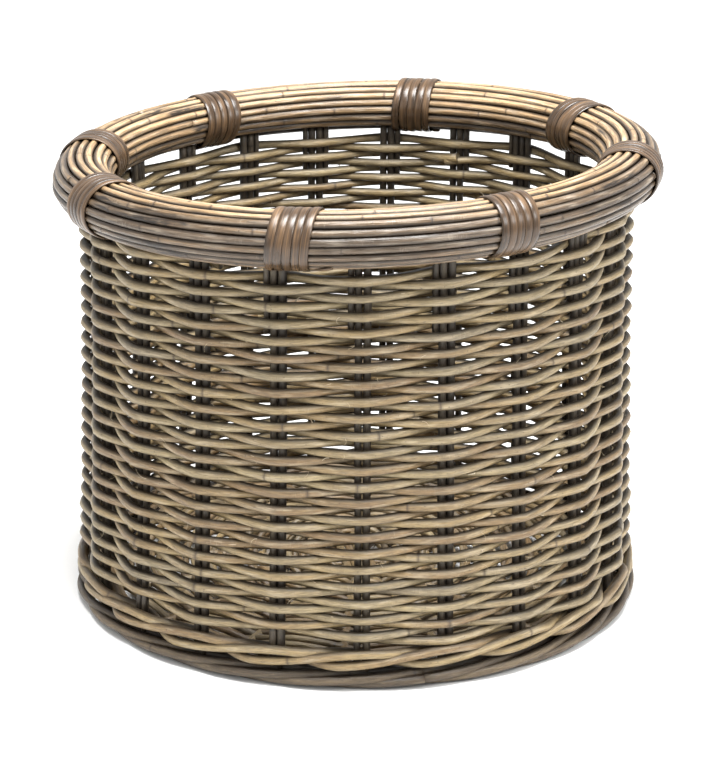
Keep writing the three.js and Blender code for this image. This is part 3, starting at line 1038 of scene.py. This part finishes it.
# ---- The rim -------------------------------------------------------------------------------------
@dataclass
class Rim:
    """A hoop on the stakes, wrapped lengthwise in rods that keep their skin."""

    wall: Wall
    flatness: float = 0.88
    rod_count: int = 17
    # The side of the bundle whose rods are given painted light: a paler tone and less painted shade.
    painted_light_side: float = math.radians(215)  # round the bundle, from its underside outwards
    stray: float = 1.0 * MM
    butt_gap: float = 1.0 * MM
    step: float = 7 * MM

    def __post_init__(self) -> None:
        """Takes the hoop's place and the bundle's size from the solids."""
        self.radius = self.wall.rim_radius
        self.height = self.wall.rim_height
        self.names = sorted(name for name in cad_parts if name.startswith("rim_rod_"))
        angles, reaches = [], []
        for name in self.names:
            low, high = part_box(name)
            solid = (high[2] - low[2] - 2 * self.wall.rise(math.pi / 2, high[0])) / self.flatness
            out = high[0] - solid / 2 - self.radius
            up = (low[2] + high[2]) / 2 - self.height
            angles.append(math.atan2(out, -up / self.flatness) % (2 * math.pi))
            reaches.append(math.hypot(out, up / self.flatness) + solid / 2)
        self.bundle_radius = sum(reaches) / len(reaches)
        gap = (max(angles) - min(angles)) / (self.rod_count - 1)
        self.angles = [min(angles) + i * gap for i in range(self.rod_count)]
        squeeze = math.sin(gap / 2)
        self.rod = 2 * self.bundle_radius * squeeze / (1 + squeeze)

    def at(self, bearing: float, out: float, up: float) -> Vector:
        """Returns a point of the rim, out from and up from its centre line, on the tilted hoop."""
        radius = self.radius + out
        height = self.height + up + self.wall.rise(bearing, radius)
        return self.wall.place(bearing, radius, height)

    def build(self) -> None:
        """Makes the core and the rods round it."""
        self.build_core()
        material = RIM_FINISH.build()
        pick = random.Random(19)
        for k, name in enumerate(self.names):
            bundle = RodBundle(f"skinned_{name}", sides=14)
            for i in range(self.rod_count):
                if i * len(self.names) // self.rod_count == k:
                    self.build_rod(bundle, i, pick)
            bundle.finish(material, [name])

    def build_core(self) -> None:
        """Makes the hoop inside the rim."""
        bundle = RodBundle("rim_core", sides=20)
        _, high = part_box("rim_core_hoop")
        width = 2 * (high[0] - self.radius) - 0.6 * MM
        length = 2 * math.pi * self.radius - self.butt_gap
        sections = []
        for place, ring in stations(length, 15 * MM, []):
            bearing = place / self.radius + 0.4
            centre = self.at(bearing, 0.0, 0.0)
            sections.append(Section(centre, outward(bearing), width, width * self.flatness, 0.3, ring))
        bundle.add(sections, 0.3, 200.0)
        bundle.finish(STAKE_FINISH.build(), ["rim_core_hoop"])

    def build_rod(self, bundle: RodBundle, i: int, pick: random.Random) -> None:
        """Sweeps one rod round the rim, its ends butted where it began.

        Args:
            bundle: The piece that the rod belongs to.
            i: The rod's number round the bundle, from its underside outwards.
            pick: Where its bearing, thickness and tone are drawn from.
        """
        growth = Growth(6000 + i, ring_spacing=(0.10, 0.26), ring_swelling=0.09, unevenness=0.05)
        mean = self.rod * pick.uniform(0.88, 1.06)
        reach = self.bundle_radius - mean / 2
        out = reach * math.sin(self.angles[i])
        up = -reach * math.cos(self.angles[i]) * self.flatness
        begin = pick.uniform(0, 2 * math.pi)
        length = 2 * math.pi * (self.radius + out) - self.butt_gap
        # Painted light: the rods on top and inside the bundle are painted paler and the low outer ones
        # darker, as light falls from above.
        painted_top_light = min(1.0, 1.25 * max(0.0, math.cos(self.angles[i] - self.painted_light_side)))
        sections = []
        for place, ring in stations(length, self.step, growth.rings(length)):
            bearing = begin + place / (self.radius + out)
            stray_out = wander(300 + i, 5 * place, self.stray)
            stray_up = wander(340 + i, 5 * place, self.stray)
            centre = self.at(bearing, out + stray_out, up + stray_up)
            size = growth.size(mean, place, ring)
            away = (centre - self.at(bearing, 0.0, 0.0)).normalized()
            sections.append(Section(centre, away, size * 1.04, size, 0.93 + 0.07 * painted_top_light, ring))
        bundle.add(sections, 0.4 * pick.random() + 0.6 * painted_top_light, 220 + 3.9 * i, crevice_shade=1.0)


@dataclass
class Lashings:
    """Split cane wound five times round the rim at eight places, each turn beside the last."""

    rim: Rim
    turns: int = 5
    strip_width: float = 7.0 * MM
    strip_thickness: float = 2.3 * MM
    tail_thickness: float = 1.4 * MM
    clear_of_rods: float = 1.1 * MM
    turn_clearance: float = 0.2 * MM
    tail_clearance: float = 0.4 * MM
    sections_per_turn: int = 56
    sections_per_tail: int = 12

    def __post_init__(self) -> None:
        """Takes the turns' radius from the bundle of rods that they hold."""
        self.girth = self.rim.bundle_radius + self.clear_of_rods

    def build(self) -> None:
        """Makes one piece for each lashing."""
        material = LASHING_FINISH.build()
        names = sorted(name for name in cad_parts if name.startswith("rim_lashing_"))
        for i, name in enumerate(names):
            self.build_lashing(i, name, material)

    def build_lashing(self, i: int, name: str, material: bpy.types.Material) -> None:
        """Winds one lashing, slanting a little as it goes round."""
        pick = random.Random(500 + i)
        bearing = bearing_of(mid(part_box(name)))
        bundle = RodBundle(f"wound_{name}", sides=12)
        slant = pick.uniform(-1, 1) * 3 * MM
        for turn in range(self.turns):
            self.build_turn(bundle, i, turn, bearing, slant, pick)
        if i % 3 == 0:
            self.build_tail(bundle, bearing, pick)
        bundle.finish(material, [name])

    def build_turn(
        self,
        bundle: RodBundle,
        lashing: int,
        turn: int,
        bearing: float,
        slant: float,
        pick: random.Random,
    ) -> None:
        """Winds one turn of cane round the rim.

        Args:
            bundle: The lashing's piece.
            lashing: The lashing's number.
            turn: The turn's number.
            bearing: The bearing of the lashing's middle.
            slant: How far the turns run to the side from the bottom of the rim to its top.
            pick: Where its tone and looseness are drawn from.
        """
        count = self.sections_per_turn
        middle = (turn - (self.turns - 1) / 2) * self.strip_width
        width = self.strip_width * pick.uniform(1.0, 1.08)
        loose = pick.uniform(0, 0.5) * MM
        sections = []
        for k in range(count + 1):
            share = k / count
            angle = -math.pi / 2 + 2 * math.pi * share
            drift = (share - 0.5) * self.strip_width + slant * math.sin(angle)
            drift += wander(600 + 10 * lashing + turn, 3 * share, 0.8 * MM)
            side = middle + drift
            girth = self.girth + self.turn_clearance + loose * math.sin(angle) ** 2
            out = girth * math.cos(angle)
            up = girth * self.rim.flatness * math.sin(angle)
            local = bearing + side / (self.rim.radius + out)
            centre = self.rim.at(local, out, up)
            away = (centre - self.rim.at(local, 0.0, 0.0)).normalized()
            sections.append(Section(centre, away, self.strip_thickness, width, 1.0))
        bundle.add(sections, pick.random(), 300 + 2.1 * (5 * lashing + turn), crevice_shade=0.85, squareness=0.8)

    def build_tail(self, bundle: RodBundle, bearing: float, pick: random.Random) -> None:
        """Leaves the cut end of the strip showing under the rim, beside the last turn.

        Args:
            bundle: The lashing's piece.
            bearing: The bearing of the lashing's middle.
            pick: Where its length and tone are drawn from.
        """
        half_band = self.turns * self.strip_width / 2
        length = pick.uniform(14, 22) * MM
        sections = []
        for k in range(self.sections_per_tail + 1):
            share = k / self.sections_per_tail
            angle = math.radians(-78 + 26 * share)
            side = half_band - 3 * MM + length * share
            out = (self.girth + self.tail_clearance) * math.cos(angle)
            up = (self.girth + self.tail_clearance) * self.rim.flatness * math.sin(angle)
            centre = self.rim.at(bearing + side / (self.rim.radius + out), out, up)
            away = (centre - self.rim.at(bearing + side / self.rim.radius, 0.0, 0.0)).normalized()
            width = self.strip_width * (0.85 - 0.45 * share)
            sections.append(Section(centre, away, self.tail_thickness, width, 1.0))
        bundle.add(sections, pick.random(), 390.0, crevice_shade=0.8, squareness=0.8)


# ---- Loose fibres --------------------------------------------------------------------------------
@dataclass
class Splinters:
    """Hair-thin fibres and curled shavings that the weaving has raised from the rods."""

    wall: Wall
    siding: Siding
    fibres: int = 340
    shavings: int = 130
    fibre_thickness: float = 0.4 * MM
    shaving_thickness: float = 0.3 * MM
    sections_per_fibre: int = 7

    def build(self) -> None:
        """Makes all the fibres and shavings as one piece."""
        bundle = RodBundle("loose_fibres", sides=4)
        pick = random.Random(911)
        for n in range(self.fibres + self.shavings):
            is_shaving = n >= self.fibres
            stray = pick.uniform(0.2, 0.42) * pick.choice((-1, 1))
            inside = is_shaving or pick.random() < 0.5
            stroke = 2 * round(pick.uniform(10, self.siding.strokes - 30) / 2) + stray
            stroke += 0 if inside else 1
            centre = self.siding.centre(stroke)
            # Shavings lie on the outer face of the inside strokes, where the gaps show them.
            face = 1 if is_shaving or not inside else -1
            out = outward(self.wall.bearing(stroke)) * face
            lift = pick.uniform(0.2, 0.46) * self.siding.thickness
            root = centre + out * lift + Vector((0, 0, pick.uniform(-1.5, 3) * MM))
            if is_shaving:
                size = (pick.uniform(0.9, 2.2) * MM, self.shaving_thickness)
                length = pick.uniform(7, 15) * MM
            else:
                size = (self.fibre_thickness, self.fibre_thickness)
                length = pick.uniform(5, 14) * MM
            self.build_fibre(bundle, root, out, pick, length, size)
        bundle.finish(SPLINTER_FINISH.build(), [])

    def build_fibre(
        self,
        bundle: RodBundle,
        root: Vector,
        away: Vector,
        pick: random.Random,
        length: float,
        size: tuple[float, float],
    ) -> None:
        """Sweeps one curling fibre from its root.

        Args:
            bundle: The piece that it belongs to.
            root: Where it leaves its rod.
            away: The way out of the rod.
            pick: Where its curl is drawn from.
            length: Its length.
            size: Its width and thickness at the root.
        """
        side = Vector((0, 0, 1)).cross(away).normalized() * pick.choice((-1, 1))
        heading = (side + away * pick.uniform(0.0, 0.35)).normalized()
        curl = Matrix.Rotation(pick.uniform(-0.4, 0.4), 3, away)
        curl = curl @ Matrix.Rotation(pick.uniform(-0.25, 0.25), 3, "Z")
        place = root.copy()
        sections = []
        steps = self.sections_per_fibre
        for k in range(steps + 1):
            taper = 1 - 0.7 * k / steps
            sections.append(Section(place.copy(), away, size[1] * taper, size[0] * taper, 1.0))
            place += heading * (length / steps)
            heading = (curl @ heading).normalized()
        bundle.add(sections, pick.random(), 400.0 + pick.random())


# ---- The studio ----------------------------------------------------------------------------------
@dataclass(frozen=True)
class Softbox:
    """A square softbox: where it hangs, the length of its side and its power in watts."""

    name: str
    place: tuple[float, float, float]
    size: float
    power: float

    def hang(self, target: Vector) -> None:
        """Hangs the softbox so that it faces the target."""
        light = bpy.data.lights.new(self.name, "AREA")
        light.size = self.size
        light.energy = self.power
        lamp = bpy.data.objects.new(self.name, light)
        lamp.location = self.place
        aim = target - Vector(self.place)
        lamp.rotation_euler = aim.to_track_quat("-Z", "Y").to_euler()
        bpy.context.scene.collection.objects.link(lamp)


@dataclass
class Studio:
    """A pale floor, a white surround and large soft lights."""

    softboxes: tuple[Softbox, ...] = (
        Softbox("key_softbox", (2.1, -1.5, 2.1), 1.1, 47.0),
        Softbox("fill_softbox", (-2.1, -1.5, 1.3), 1.8, 7.0),
        Softbox("top_softbox", (0.1, -0.25, 2.2), 1.1, 108.0),
    )
    surround: float = 0.9
    lit_height: float = 0.2
    floor_size: float = 14.0
    floor_drop: float = 0.5 * MM  # below the foot, so that the two never lie in one plane
    distance: float = 2.4
    elevation: float = 0.3245
    aim: tuple[float, float] = (0.0057, 0.1811)
    roll: float = -0.005
    lens_mm: float = 135.5

    def build(self) -> None:
        """Sets up the floor, the lights and the camera."""
        self.build_floor()
        self.build_surround()
        for softbox in self.softboxes:
            softbox.hang(Vector((0.0, 0.0, self.lit_height)))
        self.build_camera()

    def build_floor(self) -> None:
        """Lays a plain pale floor."""
        bm = bmesh.new()
        bmesh.ops.create_grid(bm, x_segments=1, y_segments=1, size=self.floor_size / 2)
        bmesh.ops.translate(bm, vec=(0.0, 0.0, -self.floor_drop), verts=bm.verts)
        mesh = bpy.data.meshes.new("studio_floor")
        bm.to_mesh(mesh)
        bm.free()
        floor = bpy.data.objects.new("studio_floor", mesh)
        bpy.context.scene.collection.objects.link(floor)
        material = bpy.data.materials.new("matt_white_paper")
        material.use_nodes = True
        shader = material.node_tree.nodes["Principled BSDF"]
        shader.inputs["Base Color"].default_value = linear("#f4f4f3")
        shader.inputs["Roughness"].default_value = 0.9
        mesh.materials.append(material)

    def build_surround(self) -> None:
        """Lights the scene evenly from all round."""
        world = bpy.data.worlds.new("white_surround")
        world.use_nodes = True
        background = world.node_tree.nodes["Background"]
        background.inputs["Color"].default_value = linear("#ffffff")
        background.inputs["Strength"].default_value = self.surround
        bpy.context.scene.world = world
        settings = bpy.context.scene.view_settings
        settings.view_transform = "Standard"
        settings.look = "None"

    def build_camera(self) -> None:
        """Sets the camera at the viewing angle, with a long lens."""
        camera = bpy.data.cameras.new("camera")
        camera.sensor_fit = "HORIZONTAL"
        camera.lens = self.lens_mm
        camera.clip_end = 50.0
        rig = bpy.data.objects.new("camera", camera)
        x, z = self.aim
        rig.location = (
            x,
            -self.distance * math.cos(self.elevation),
            z + self.distance * math.sin(self.elevation),
        )
        pitch = Matrix.Rotation(math.pi / 2 - self.elevation, 4, "X")
        turn = pitch @ Matrix.Rotation(-self.roll, 4, "Z")
        rig.rotation_euler = turn.to_euler()
        bpy.context.scene.collection.objects.link(rig)
        bpy.context.scene.camera = rig


def main() -> None:
    """Builds the studio and the basket, from the foot up."""
    logging.basicConfig(level=logging.INFO, format="%(name)s: %(message)s")
    Studio().build()
    wall = Wall()
    Foot(wall).build()
    Floor(wall).build()
    Stakes(wall).build()
    Waling(wall).build()
    siding = Siding(wall)
    siding.build()
    rim = Rim(wall)
    rim.build()
    Lashings(rim).build()
    Splinters(wall, siding).build()


if __name__ == "__main__":
    main()
